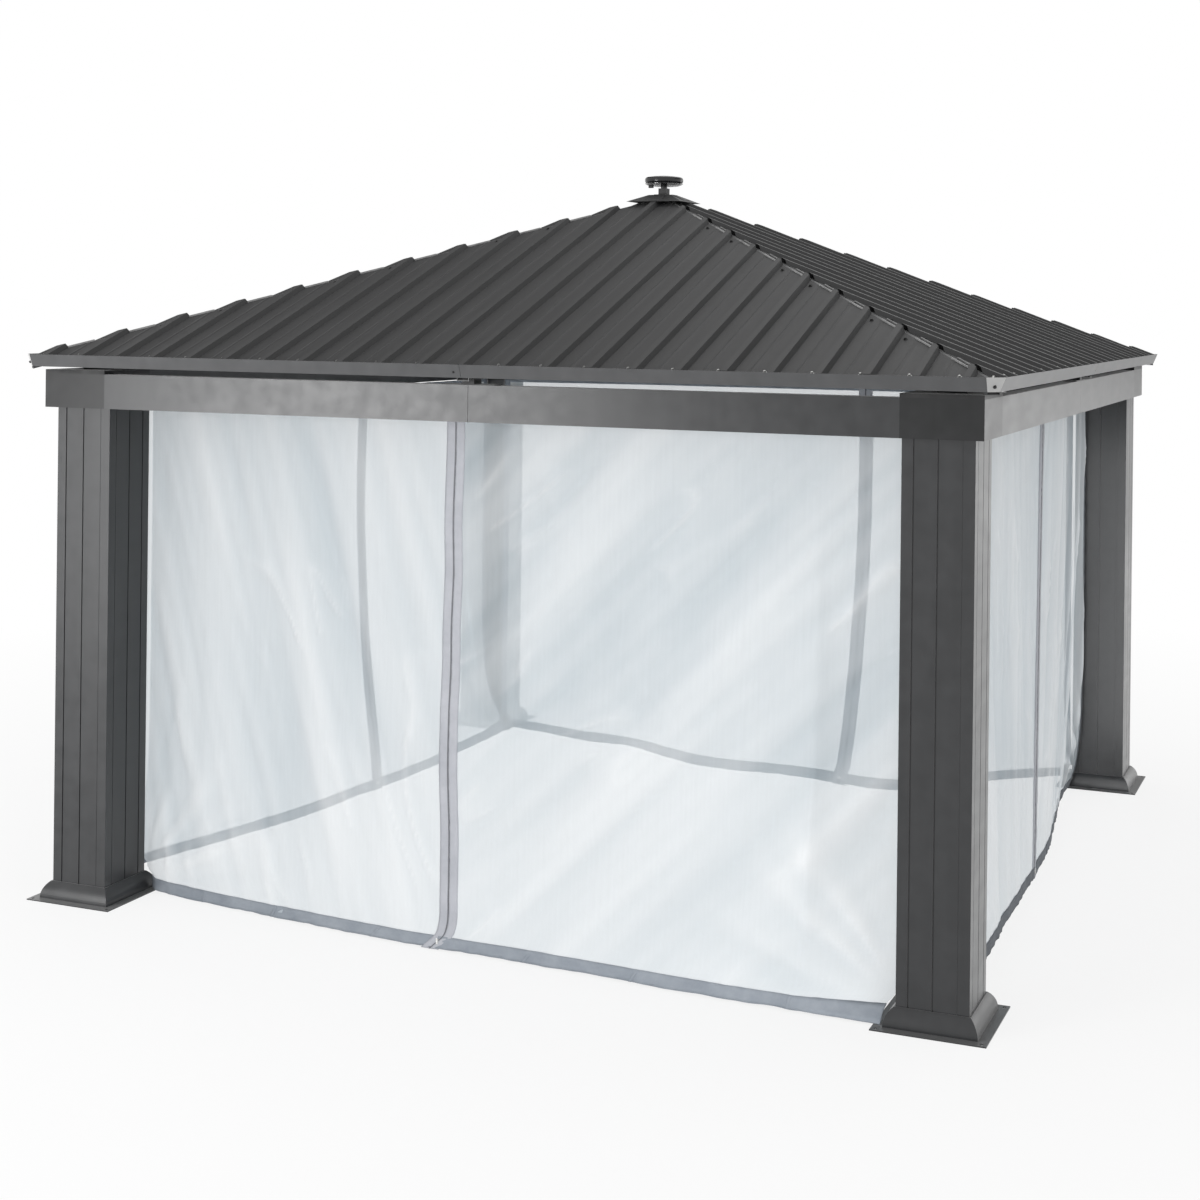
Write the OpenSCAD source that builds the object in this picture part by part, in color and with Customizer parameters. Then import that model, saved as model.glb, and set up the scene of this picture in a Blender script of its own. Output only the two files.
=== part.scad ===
// Square hardtop gazebo: four clad posts, a ring of beams, a ribbed hipped roof with a small
// raised cap and finial, and a mosquito net hung inside the posts on each side.
// Millimetres, +Z up. The origin is on the ground at the centre of the plan, the front faces -Y.

/* [Plan] */
// Distance between post centres along each side
post_pitch = 3530; // [2600:10:4600]
// Clear height under the beams
clear_h = 2000; // [1700:10:2500]

/* [Posts] */
// Width of a square post
post_w = 255; // [180:1:320]
// Wall of the post cladding
post_wall = 3; // [2:0.5:5]
// Width of an upright groove in a post face
groove_w = 5; // [3:0.5:8]
// Depth of an upright groove in a post face
groove_d = 4; // [2:0.5:6]
// Width of a lightly pressed line in a post face
press_w = 3; // [2:0.5:5]
// Depth of a lightly pressed line in a post face
press_d = 1; // [0.5:0.25:2]

/* [Feet] */
// How far a moulded foot cover stands out from the post
cover_overhang = 36.5; // [20:0.5:60]
// Height of a moulded foot cover
cover_h = 64; // [40:1:100]
// Flat top ledge of a foot cover
cover_ledge = 5; // [3:0.5:10]
// Wall of a foot cover
cover_wall = 3; // [2:0.5:4]
// How far a base plate reaches past its foot cover
plate_margin = 36; // [24:1:60]
// Thickness of a base plate
plate_t = 4; // [3:0.5:8]
// Diameter of a ground bolt hole
bolt_hole_d = 12; // [8:0.5:16]
// Distance of a bolt hole's centre from the plate's edges
bolt_inset = 18; // [12:0.5:24]

/* [Beams] */
// Depth of a beam
beam_h = 138; // [100:1:200]
// Thickness of a beam across the side
beam_t = 60; // [40:1:100]
// How far the beams stand out from the posts' outer faces
beam_overhang = 36; // [20:1:60]
// Wall of the beams and corner boxes
beam_wall = 3; // [2:0.5:5]
// Open joint between the two halves of a beam or an eave trim
butt_gap = 1.5; // [0.5:0.25:4]
// Height of the folded lid on a corner box
lid_h = 15; // [10:1:25]

/* [Roof] */
// Slope of the roof in degrees
roof_pitch = 20.5; // [14:0.5:30]
// How far the eaves reach past the beams
eave_overhang = 76; // [50:1:140]
// Open gap between a beam and the eave trim above it
eave_gap = 28; // [15:1:50]
// Height of the eave trim
trim_h = 49; // [35:1:70]
// How far the eave trim leans out from its foot to its top
trim_lean = 21; // [8:1:30]
// Wall of the eave trim
trim_wall = 2; // [1.5:0.25:3]
// Cut off each eave corner, closed by a clip
corner_cut = 56; // [45:1:80]
// Thickness of the roof sheet
sheet_t = 1.2; // [0.8:0.1:2]
// Distance between roof ribs
rib_pitch = 171; // [120:1:220]
// Height of a rib
rib_h = 18; // [10:0.5:26]
// Width of a rib at its foot
rib_foot = 42; // [34:1:60]
// Width of a rib at its top
rib_top = 22; // [12:1:30]
// Rib pitches between two lapped ribs
lap_every = 3; // [2:1:4]
// Height of the shallow stiffening bead between ribs
bead_h = 2; // [1:0.25:4]
// Width of the shallow stiffening bead
bead_w = 18; // [10:1:30]
// Width of the open line between two slopes at a hip
hip_gap = 18; // [10:1:30]

/* [Rafters] */
// Width of a rafter
rafter_w = 50; // [36:1:70]
// Upright depth of a rafter
rafter_d = 50; // [36:1:70]
// Wall of the rafters and purlins
rafter_wall = 2.5; // [1.5:0.25:4]
// Width of a purlin
purlin_w = 40; // [30:1:60]
// Upright depth of a purlin
purlin_d = 30; // [20:1:45]
// Half width of the eight-sided hub under the crown
hub_r = 100; // [90:1:140]
// Depth of the hub
hub_h = 80; // [60:1:120]

/* [Crown] */
// Width of the crown cap at its edge
cap_w = 266; // [220:1:340]
// Width of the flat on top of the crown cap
cap_top_w = 108; // [90:1:140]
// Rise of the crown cap
cap_rise = 34; // [20:1:60]
// Upright wall of the crown cap
cap_wall = 2.5; // [1.5:0.25:4]
// Gap between the rib tops and the edge of the crown cap
cap_lift = 4; // [3:0.5:25]
// Width of the square finial stem
stem_w = 40; // [28:1:56]
// Height of the stem
stem_h = 32; // [24:1:70]
// Width at its end of a flap that folds from the stem's foot down over the crown cap
flap_w = 70; // [60:1:90]
// Thickness of a flap
flap_t = 2; // [1:0.25:4]
// Diameter of the finial disc
disc_d = 178; // [120:1:220]
// Thickness of the finial disc at its rim
disc_h = 30; // [18:1:44]
// Rise of the disc's domed top above its rim
disc_dome = 7; // [3:0.5:14]
// Diameter of the neck under the disc
neck_d = 30; // [20:1:38]
// Height of the neck under the disc
neck_h = 22; // [4:0.5:30]

/* [Nets] */
// Thickness taken up by a hanging net
net_t = 3; // [2:0.5:6]
// Diameter of the rod that carries a net
rod_d = 12; // [8:0.5:20]
// Distance of a net rod from the inner face of its beam
rod_reach = 108; // [70:1:160]
// How far the foot of a net can spread out
net_splay = 260; // [100:5:320]
// Length of rod left off at each end, where a net draws in to a post
rod_setback = 900; // [600:10:1000]
// Width of the slit that a zip closes between two halves of a net
zip_slit = 2; // [1:0.5:4]

/* [Hidden] */

// Sides and corners, counted in quarter turns from the front and from the front right
front = 0;
right = 1;
back = 2;
left = 3;
front_right = 0;
back_right = 1;
back_left = 2;
front_left = 3;

// Clearance at a seat, and overrun of a cut past a face
seat = 0.3;
cut = 1;

// Colours
charcoal = [0.27, 0.275, 0.28];
roof_grey = [0.24, 0.245, 0.25];
bracket_black = [0.1, 0.1, 0.1];
knob_black = [0.05, 0.05, 0.055];
net_white = [0.86, 0.88, 0.9];

// Posts, boxes and beams
post_c = post_pitch / 2;
post_in = post_c - post_w / 2;
post_out = post_c + post_w / 2;
beam_r = post_out + beam_overhang;
beam_in = beam_r - beam_t;
beam_top = clear_h + beam_h;
box_w = beam_r - post_in;
box_c = (beam_r + post_in) / 2;
lid_top = beam_top + lid_h;
groove_shares = [-2/3, 0, 2/3];
groove_lining = post_wall + groove_d;

// Feet
cover_w = post_w + 2 * cover_overhang;
plate_w = cover_w + 2 * plate_margin;
bolt_c = plate_w / 2 - bolt_inset;
cover_sweep = cover_overhang - cover_ledge;
cover_bend = (pow(cover_h, 2) + pow(cover_sweep, 2)) / (2 * cover_sweep);
arc_steps = 10;

// Eaves: the underside of the sheet is the plane that all roof pieces meet
slope = tan(roof_pitch);
eave_r = beam_r + eave_overhang;
trim_foot_r = eave_r - trim_lean;
trim_z = beam_top + eave_gap;
trim_top = trim_z + trim_h;
trim_upstand = 24;
trim_shelf = 34;
trim_lip = 16;
trim_end = eave_r - corner_cut;
lean_share = trim_lean / trim_h;
apex_z = trim_top - trim_upstand + eave_r * slope;
shelf_r = eave_r - trim_shelf;
pan_r = trim_inside(0) - seat;

// Ribs and laps
lap_gap = 0.4;
lap_foot = 9;
lap_rise = sheet_t + lap_gap;
flank = atan2(rib_h, (rib_foot - rib_top) / 2);
lap_spread = lap_rise * tan(flank / 2);
rib_count = floor((trim_end - rib_foot / 2) / rib_pitch);
lap_count = floor(rib_count / lap_every);
rib_rise = (rib_h + lap_rise + sheet_t) / cos(roof_pitch);
hip_reach = hip_gap / sqrt(2);

// Rafters and their brackets
hip_slope = slope / sqrt(2);
hip_end = (trim_end + trim_foot_r) / sqrt(2) - trim_wall - seat;
purlin_share = 0.52;
purlin_r = eave_r * purlin_share;
stub_w = rafter_w;
stub_l = 120;
splice_l = 220;
splice_t = 4;

// Crown
king_d = 36;
hub_wall = 4;
crown_r = king_d / 2 + hip_reach + rafter_w / 2;
hub_sides = 8;
hub_top = under_z(hub_r / cos(180 / hub_sides));
cap_z = under_z(cap_w / 2) + rib_rise + cap_lift;
cap_top = cap_z + cap_rise;
flap_share = 0.75;
stem_top = cap_top + stem_h;
disc_round_share = 0.4;
disc_round = disc_h * disc_round_share;

// Nets
net_in = post_in - seat - 3 * net_t;
net_end = net_in - 1.5 * net_t;
rod_r = beam_in - rod_reach;
rod_z = clear_h + rod_d;
rod_half = post_in - rod_setback;
arm_w = 2 * rod_d;
arm_t = rod_d / 2;
arm_shares = [-0.86, -0.3, 0.3, 0.86];
net_top = rod_z - rod_d / 2 - seat;
net_foot = plate_t + seat;
net_foot_end = post_c - cover_w / 2 - 3.5 * net_t;
rod_share = rod_half / net_end;
// How far out towards its rod each net is tied at its two ends
tie_shares = [[0, 0], [0, 0.45], [0, 0], [0.85, 0]];
station_shares = [0, 0.04, 0.15, 0.3, 0.45, 0.6, 0.8, 1];
drop_shares = [0, 0.5, 0.8, 0.95, 1];
// A net swings out by a power of its drop: gently along the side, only at its foot beside a post
hang_powers = [[0, 2], [0.8, 2], [1, 8]];
// How far out the foot of each net lies along its side, as shares of net_splay
hem_shares = [
    [[-1, 0.05], [-0.97, 0.22], [-0.66, 0.5], [-0.2, 0.79], [0.18, 0.88], [0.5, 1.02], [1, 1.15]],
    [[-1, 0.68], [-0.69, 0.61], [-0.44, 0.55], [0, 0.5], [0.28, 0.41], [0.8, 0.04], [1, 0]],
    [
        [-1, 0.75], [-0.78, -0.43], [-0.53, -1.9], [-0.2, -1.65],
        [0.15, -1.6], [0.46, -0.7], [0.66, -0.5], [1, 0.05]
    ],
    [
        [-1, -0.3], [-0.6, -0.33], [-0.4, -0.44], [0, -0.25],
        [0.27, -0.1], [0.58, 0.27], [0.87, 0.78], [1, 0.95]
    ]
];
// Place of the zip along each side, as a share of half the side
zip_shares = [-0.09, 0, -0.32, -0.08];

// Height of the roof plane at a distance from the centre, square to a side
function under_z(r) = apex_z - r * slope;
// Height of the hip line at a distance from the centre along a diagonal
function hip_z(s) = apex_z - s * hip_slope;
// Where the leaning inner face of the trim meets the roof plane lowered by a drop
function trim_inside(drop) =
    (trim_foot_r - trim_wall + (apex_z - drop - trim_z) * lean_share) / (1 + lean_share * slope);

// A chain of points moved to its left by a distance, with mitred corners
function along(v) = v / norm(v);
function left_of(v) = [-v.y, v.x];
function moved(chain, d) = [
    for (i = [0:len(chain) - 1])
        let (
            last = len(chain) - 1,
            ahead = left_of(along(i == last ? chain[i] - chain[i - 1] : chain[i + 1] - chain[i])),
            behind = left_of(along(i == 0 ? chain[1] - chain[0] : chain[i] - chain[i - 1]))
        )
        chain[i] + d * (ahead + behind) / (1 + ahead * behind)
];
function reversed(list) = [for (i = [len(list) - 1:-1:0]) list[i]];
function strip(chain, t) = concat(chain, reversed(moved(chain, t)));

module at_corner(corner) {
    rotate([0, 0, 90 * corner]) translate([post_c, -post_c, 0]) children();
}

module at_side(side) {
    rotate([0, 0, 90 * side]) children();
}

// An upright outline pushed along the side, its points being [distance out, height]
module along_side(length) {
    rotate([90, 0, -90]) linear_extrude(length, center = true) children();
}

// An upright outline pushed across the front right diagonal
module across_diagonal(width) {
    rotate([90, 0, -45]) linear_extrude(width, center = true) children();
}

// The solid that has one upright outline from the front and from the side
module both_ways(width) {
    intersection() {
        rotate([90, 0, 0]) linear_extrude(width, center = true) children();
        rotate([90, 0, 90]) linear_extrude(width, center = true) children();
    }
}

module hollow_box(width, depth, height, wall, floor_t) {
    difference() {
        translate([-width / 2, -depth / 2, 0]) cube([width, depth, height]);
        translate([-width / 2 + wall, -depth / 2 + wall, floor_t])
            cube([width - 2 * wall, depth - 2 * wall, height]);
    }
}

// Posts and feet

// The lines beside two opposite edges of a post are only lightly pressed, as the cladding laps there
function pressed(face, share) = share != 0 && (face % 2 == 0) == (share > 0);

module post(corner) {
    color(charcoal) at_corner(corner) translate([0, 0, plate_t])
        linear_extrude(clear_h - plate_t) difference() {
            union() {
                difference() {
                    square(post_w, center = true);
                    square(post_w - 2 * post_wall, center = true);
                }
                for (turn = [0:3], share = groove_shares) rotate(90 * turn)
                    translate([share * post_w / 2, groove_lining / 2 - post_w / 2])
                        square([groove_w + 2 * post_wall, groove_lining], center = true);
            }
            for (turn = [0:3], share = groove_shares) rotate(90 * turn)
                translate([share * post_w / 2, -post_w / 2])
                    square(
                        pressed(corner + turn, share) ? [press_w, 2 * press_d] : [groove_w, 2 * groove_d],
                        center = true
                    );
        }
}

module base_plate(corner) {
    color(charcoal) at_corner(corner) difference() {
        translate([-plate_w / 2, -plate_w / 2, 0]) cube([plate_w, plate_w, plate_t]);
        for (x = [-bolt_c, bolt_c], y = [-bolt_c, bolt_c])
            translate([x, y, -cut]) cylinder(d = bolt_hole_d, h = plate_t + 2 * cut, $fn = 32);
    }
}

// Half outline of a foot cover: a swept round from the ground up to its ledge
function cover_side(inset) = [
    for (i = [0:arc_steps])
        let (turn = asin(cover_h / cover_bend) * i / arc_steps)
        [
            cover_w / 2 - cover_bend + (cover_bend - inset) * cos(turn),
            (cover_bend - inset) * sin(turn)
        ]
];

module cover_form(inset) {
    side = cover_side(inset);
    both_ways(cover_w) polygon(concat(side, reversed([for (p = side) [-p.x, p.y]])));
}

module foot_cover(corner) {
    hole_w = post_w + 2 * seat;
    color(charcoal) at_corner(corner) translate([0, 0, plate_t]) difference() {
        cover_form(0);
        cover_form(cover_wall);
        translate([-hole_w / 2, -hole_w / 2, -cut]) cube([hole_w, hole_w, cover_h + 2 * cut]);
    }
}

// Beams and corner boxes

module corner_box(corner) {
    color(charcoal) rotate([0, 0, 90 * corner]) translate([box_c, -box_c, clear_h])
        hollow_box(box_w, box_w, beam_h, beam_wall, beam_wall);
}

module beam(side) {
    length = post_in - butt_gap / 2;
    color(charcoal) at_side(side) for (end = [-1, 1])
        translate([end * (post_in + butt_gap / 2) / 2, -beam_r + beam_t / 2, clear_h]) difference() {
            translate([-length / 2, -beam_t / 2, 0]) cube([length, beam_t, beam_h]);
            translate([-length / 2 - cut, beam_wall - beam_t / 2, beam_wall])
                cube([length + 2 * cut, beam_t - 2 * beam_wall, beam_h - 2 * beam_wall]);
        }
}

// Folded lids on the corner boxes, each with a stub that carries a hip rafter
module corner_brackets() {
    stub_s = box_c * sqrt(2);
    near = stub_s - stub_l / 2;
    far = stub_s + stub_l / 2;
    color(bracket_black) for (corner = [0:3]) rotate([0, 0, 90 * corner]) {
        translate([box_c, -box_c, lid_top]) mirror([0, 0, 1])
            hollow_box(box_w, box_w, lid_h, beam_wall, beam_wall);
        across_diagonal(stub_w) polygon([
            [near, lid_top - beam_wall], [far, lid_top - beam_wall],
            [far, hip_z(far) - rafter_d], [near, hip_z(near) - rafter_d]
        ]);
    }
}

// Plates that join two beam halves, each with a stub that carries a middle rafter
module beam_splices() {
    color(bracket_black) for (side = [0:3]) at_side(side) {
        translate([-splice_l / 2, -beam_r, beam_top]) cube([splice_l, beam_t, splice_t]);
        along_side(stub_w) polygon([
            [beam_in, beam_top + splice_t], [beam_r, beam_top + splice_t],
            [beam_r, under_z(beam_r) - rafter_d], [beam_in, under_z(beam_in) - rafter_d]
        ]);
    }
}

// Eaves

module eave_trim(side) {
    inner_foot = trim_foot_r - trim_wall + trim_wall * lean_share;
    color(charcoal) at_side(side) for (end = [-1, 1])
        translate([end * (trim_end + butt_gap / 2) / 2, 0, 0])
            along_side(trim_end - butt_gap / 2) polygon([
                [trim_foot_r, trim_z], [eave_r, trim_top], [eave_r - trim_wall, trim_top],
                [trim_inside(0), under_z(trim_inside(0))], [shelf_r, under_z(shelf_r)],
                [shelf_r, under_z(shelf_r) - trim_wall],
                [trim_inside(trim_wall), under_z(trim_inside(trim_wall)) - trim_wall],
                [inner_foot, trim_z + trim_wall], [trim_foot_r - trim_lip, trim_z + trim_wall],
                [trim_foot_r - trim_lip, trim_z]
            ]);
}

// Leaning clips across the cut corners of the eaves
module eave_corner_clips() {
    foot_s = (trim_end + trim_foot_r) / sqrt(2);
    top_s = (trim_end + eave_r) / sqrt(2);
    start = trim_end + seat;
    color(charcoal) for (corner = [0:3]) rotate([0, 0, 90 * corner]) intersection() {
        across_diagonal(2 * corner_cut) polygon([
            [foot_s, trim_z], [top_s, trim_top],
            [top_s - trim_wall, trim_top], [foot_s - trim_wall, trim_z]
        ]);
        translate([start, -start - corner_cut, trim_z]) cube([corner_cut, corner_cut, trim_h]);
    }
}

// Roof sheets

function plain_rib(u) = [
    [u - rib_foot / 2, 0], [u - rib_top / 2, rib_h], [u + rib_top / 2, rib_h], [u + rib_foot / 2, 0]
];
function bead(u) = [[u - bead_w / 2, 0], [u, bead_h], [u + bead_w / 2, 0]];
// The rib that laps over the sheet before it, and the rib that lies under the next sheet
function over_rib(u) = [
    [u - rib_foot / 2 - lap_spread - lap_foot, lap_rise],
    [u - rib_foot / 2 - lap_spread, lap_rise],
    [u - rib_top / 2 - lap_spread, rib_h + lap_rise],
    [u + rib_top / 2 + lap_spread, rib_h + lap_rise],
    [u + rib_foot / 2 + lap_spread + lap_rise / tan(flank), 0]
];
function under_rib(u) = [
    [u - rib_foot / 2, 0], [u - rib_top / 2, rib_h], [u + rib_top / 2, rib_h]
];

// Underside of the sheet between two ribs given by number
function joined(lists) = [for (list = lists) each list];
function sheet_chain(first, last) = joined([
    first < -rib_count ? [[-eave_r, 0]] : over_rib(first * rib_pitch),
    joined([
        for (k = [max(first, -rib_count - 1) + 1:min(last, rib_count + 1) - 1]) joined([
            k - 1 < -rib_count ? [] : bead((k - 0.5) * rib_pitch),
            plain_rib(k * rib_pitch)
        ])
    ]),
    last > rib_count ? [[eave_r, 0]]
        : concat(bead((last - 0.5) * rib_pitch), under_rib(last * rib_pitch))
]);

// Plan of one slope, short of the hips, the crown and the corner clips
module slope_plan() {
    clip_line = trim_end + pan_r - trim_wall;
    tip_r = (clip_line + hip_reach) / 2;
    half = [
        [crown_r - hip_reach, -crown_r], [tip_r - hip_reach, -tip_r], [clip_line - pan_r, -pan_r]
    ];
    polygon(concat(half, reversed([for (p = half) [-p.x, p.y]])));
}

module roof(side) {
    laps = [for (i = [-lap_count:lap_count]) i * lap_every];
    ends = concat([-rib_count - 1], laps, [rib_count + 1]);
    color(roof_grey) at_side(side) for (i = [0:len(ends) - 2]) intersection() {
        translate([0, 0, apex_z]) rotate([90 + roof_pitch, 0, 0])
            linear_extrude(eave_r / cos(roof_pitch))
                polygon(strip(sheet_chain(ends[i], ends[i + 1]), sheet_t));
        translate([0, 0, clear_h]) linear_extrude(apex_z) slope_plan();
    }
}

// Rafters

module under_roof() {
    both_ways(2 * eave_r) polygon([
        [-eave_r, clear_h], [eave_r, clear_h], [eave_r, under_z(eave_r)],
        [0, apex_z], [-eave_r, under_z(eave_r)]
    ]);
}

// Upright outlines between two distances out, a top and a bottom drop below the roof plane or hip
function plane_bar(near, far, top, bottom) = [
    [near, under_z(near) - top], [near, under_z(near) - bottom],
    [far, under_z(far) - bottom], [far, under_z(far) - top]
];
function hip_bar(near, far, top, bottom) = [
    [near, hip_z(near) - top], [near, hip_z(near) - bottom],
    [far, hip_z(far) - bottom], [far, hip_z(far) - top]
];

module hip_rafters() {
    bevel = rafter_w / 2 * hip_slope;
    color(charcoal) for (corner = [0:3]) rotate([0, 0, 90 * corner]) difference() {
        intersection() {
            across_diagonal(rafter_w) polygon(hip_bar(hub_r, hip_end, 0, rafter_d));
            under_roof();
        }
        across_diagonal(rafter_w - 2 * rafter_wall)
            polygon(hip_bar(hub_r - cut, hip_end + cut, bevel + rafter_wall, rafter_d - rafter_wall));
    }
}

module mid_rafters() {
    far = shelf_r - seat;
    color(charcoal) for (side = [0:3]) at_side(side) difference() {
        along_side(rafter_w) polygon(plane_bar(hub_r, far, 0, rafter_d));
        along_side(rafter_w - 2 * rafter_wall)
            polygon(plane_bar(hub_r - cut, far + cut, rafter_wall, rafter_d - rafter_wall));
    }
}

module purlins() {
    near = purlin_r - purlin_w / 2;
    far = purlin_r + purlin_w / 2;
    hip_side = rafter_w / sqrt(2);
    color(charcoal) for (side = [0:3]) at_side(side) difference() {
        intersection() {
            along_side(2 * eave_r) polygon(plane_bar(near, far, 0, purlin_d));
            translate([0, 0, clear_h]) linear_extrude(apex_z) for (end = [0, 1]) mirror([end, 0])
                polygon([
                    [rafter_w / 2, -near], [near - hip_side, -near],
                    [far - hip_side, -far], [rafter_w / 2, -far]
                ]);
        }
        along_side(2 * eave_r) polygon(
            plane_bar(near + rafter_wall, far - rafter_wall, rafter_wall, purlin_d - rafter_wall));
    }
}

// Crown

// An upright prism of eight sides with the given distance across half its flats
module eight_sided(half, low, high) {
    translate([0, 0, low]) rotate([0, 0, 180 / hub_sides])
        cylinder(r = half / cos(180 / hub_sides), h = high - low, $fn = hub_sides);
}

// A hub open below, with a king pin up through the roof to the cap
module crown_hub() {
    hub_foot = hub_top - hub_h;
    color(charcoal) {
        difference() {
            eight_sided(hub_r, hub_foot, hub_top);
            eight_sided(hub_r - hub_wall, hub_foot - cut, hub_top - hub_wall);
        }
        translate([0, 0, hub_foot]) cylinder(d = king_d, h = cap_top - cap_wall - hub_foot, $fn = 48);
    }
}

module cap_form() {
    both_ways(cap_w) polygon([
        [-cap_w / 2, cap_z], [cap_w / 2, cap_z], [cap_top_w / 2, cap_top], [-cap_top_w / 2, cap_top]
    ]);
}

module crown_cap() {
    color(charcoal) difference() {
        cap_form();
        translate([0, 0, -cap_wall]) cap_form();
    }
}

// A square stem, with a flap that folds from its foot down over each slope of the crown cap
module finial_stem() {
    flap_end = (cap_top_w + flap_share * (cap_w - cap_top_w)) / 2;
    flap_drop = flap_share * cap_rise;
    color(charcoal) translate([0, 0, cap_top]) {
        translate([-stem_w / 2, -stem_w / 2, 0]) cube([stem_w, stem_w, stem_h]);
        for (side = [0:3]) at_side(side) intersection() {
            along_side(flap_w)
                polygon(strip([[0, 0], [cap_top_w / 2, 0], [flap_end, -flap_drop]], flap_t));
            translate([0, 0, -cap_rise]) linear_extrude(cap_rise + stem_h) polygon([
                [-stem_w / 2, 0], [-flap_w / 2, -flap_end], [flap_w / 2, -flap_end], [stem_w / 2, 0]
            ]);
        }
    }
}

// Half outline of the disc: neck, flat underside, rounded rim and domed top
module finial_disc() {
    rim = disc_d / 2 - disc_round;
    low = neck_h + disc_round;
    high = neck_h + disc_h - disc_round;
    color(knob_black) translate([0, 0, stem_top]) rotate_extrude($fn = 96) polygon(concat(
        [[0, 0], [neck_d / 2, 0], [neck_d / 2, neck_h]],
        [for (i = [0:arc_steps]) let (turn = 90 * i / arc_steps - 90)
            [rim + disc_round * cos(turn), low + disc_round * sin(turn)]],
        [for (i = [0:arc_steps]) let (turn = 90 * i / arc_steps)
            [rim + disc_round * cos(turn), high + disc_round * sin(turn)]],
        [for (i = [1:arc_steps]) let (share = 1 - i / arc_steps)
            [rim * share, neck_h + disc_h + disc_dome * (1 - pow(share, 2))]]
    ));
}

// Nets

// Rods on short arms off the beams
module net_rods() {
    color(charcoal) for (side = [0:3]) at_side(side) {
        translate([-rod_half, -rod_r, rod_z]) rotate([0, 90, 0])
            cylinder(d = rod_d, h = 2 * rod_half, $fn = 24);
        for (share = arm_shares)
            translate([share * rod_half - arm_w / 2, -beam_in, rod_z - arm_t / 2])
                cube([arm_w, rod_reach, arm_t]);
    }
}

// The middle of a net at a place along its side, from -1 to 1, and a share of its drop
function net_place(side, q, drop) =
    let (
        swing = pow(drop, lookup(abs(q), hang_powers)),
        ties = tie_shares[side],
        top_shares = [[-1, ties[0]], [-rod_share, 1], [rod_share, 1], [1, ties[1]]],
        out_top = net_in + (rod_r - net_in) * lookup(q, top_shares),
        out_foot = net_in + net_splay * lookup(q, hem_shares[side])
    )
    [
        q * (net_end + (net_foot_end - net_end) * swing),
        -out_top + (out_top - out_foot) * swing,
        net_top + (net_foot - net_top) * drop
    ];

// A net's section at a place along its side: down its inner face and back up its outer face
function net_ring(side, q) =
    let (
        middle = [for (drop = drop_shares) net_place(side, q, drop)],
        half = [0, net_t / 2, 0]
    )
    concat([for (p = middle) p + half], reversed([for (p = middle) p - half]));

// A closed band through rings, its two broad faces split along like diagonals
module band(rings) {
    last = len(rings) - 1;
    count = len(rings[0]);
    levels = count / 2;
    cap = [for (l = [0:levels - 2]) [l, l + 1, count - 2 - l, count - 1 - l]];
    polyhedron(joined(rings), joined([
        [for (quad = cap) reversed(quad)],
        [for (quad = cap) [for (j = quad) count * last + j]],
        joined([
            for (i = [0:last - 1], j = [0:count - 1])
                let (a = count * i + j, b = count * i + (j + 1) % count, c = a + count, d = b + count)
                j < levels ? [[a, b, d], [a, d, c]] : [[a, b, c], [b, d, c]]
        ])
    ]));
}

module net(side) {
    color(net_white) at_side(side) for (end = [-1, 1]) {
        edge = zip_shares[side] + end * zip_slit / 2 / net_foot_end;
        rings = [for (share = station_shares) net_ring(side, end + (edge - end) * share)];
        band(end < 0 ? rings : reversed(rings));
    }
}

post(front_left);  // post_front_left
post(front_right);  // post_front_right
post(back_left);  // post_back_left
post(back_right);  // post_back_right
base_plate(front_left);  // base_plate_front_left
base_plate(front_right);  // base_plate_front_right
base_plate(back_left);  // base_plate_back_left
base_plate(back_right);  // base_plate_back_right
foot_cover(front_left);  // foot_cover_front_left
foot_cover(front_right);  // foot_cover_front_right
foot_cover(back_left);  // foot_cover_back_left
foot_cover(back_right);  // foot_cover_back_right
corner_box(front_left);  // corner_box_front_left
corner_box(front_right);  // corner_box_front_right
corner_box(back_left);  // corner_box_back_left
corner_box(back_right);  // corner_box_back_right
beam(front);  // beam_front
beam(right);  // beam_right
beam(back);  // beam_back
beam(left);  // beam_left
eave_trim(front);  // eave_trim_front
eave_trim(right);  // eave_trim_right
eave_trim(back);  // eave_trim_back
eave_trim(left);  // eave_trim_left
roof(front);  // roof_front
roof(right);  // roof_right
roof(back);  // roof_back
roof(left);  // roof_left
net(front);  // net_front
net(right);  // net_right
net(back);  // net_back
net(left);  // net_left
corner_brackets();
beam_splices();
eave_corner_clips();
hip_rafters();
mid_rafters();
purlins();
crown_hub();
crown_cap();
finial_stem();
finial_disc();
net_rods();
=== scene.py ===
# %% [markdown]
# # A hardtop gazebo with closed mosquito nets
# The frame holds the rigid pieces at their real size, in metres, with the front towards -Y and the ground at z = 0.
# This lesson gives each piece its finish and adds what the frame leaves out: the cloth of the nets with their
# tapes and zips, the screws, the folded sheet edges along the hips and the clear bowl under the finial.

# %% Load the frame
import math

import bmesh
import bpy
from mathutils import Matrix, Vector, noise


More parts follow.
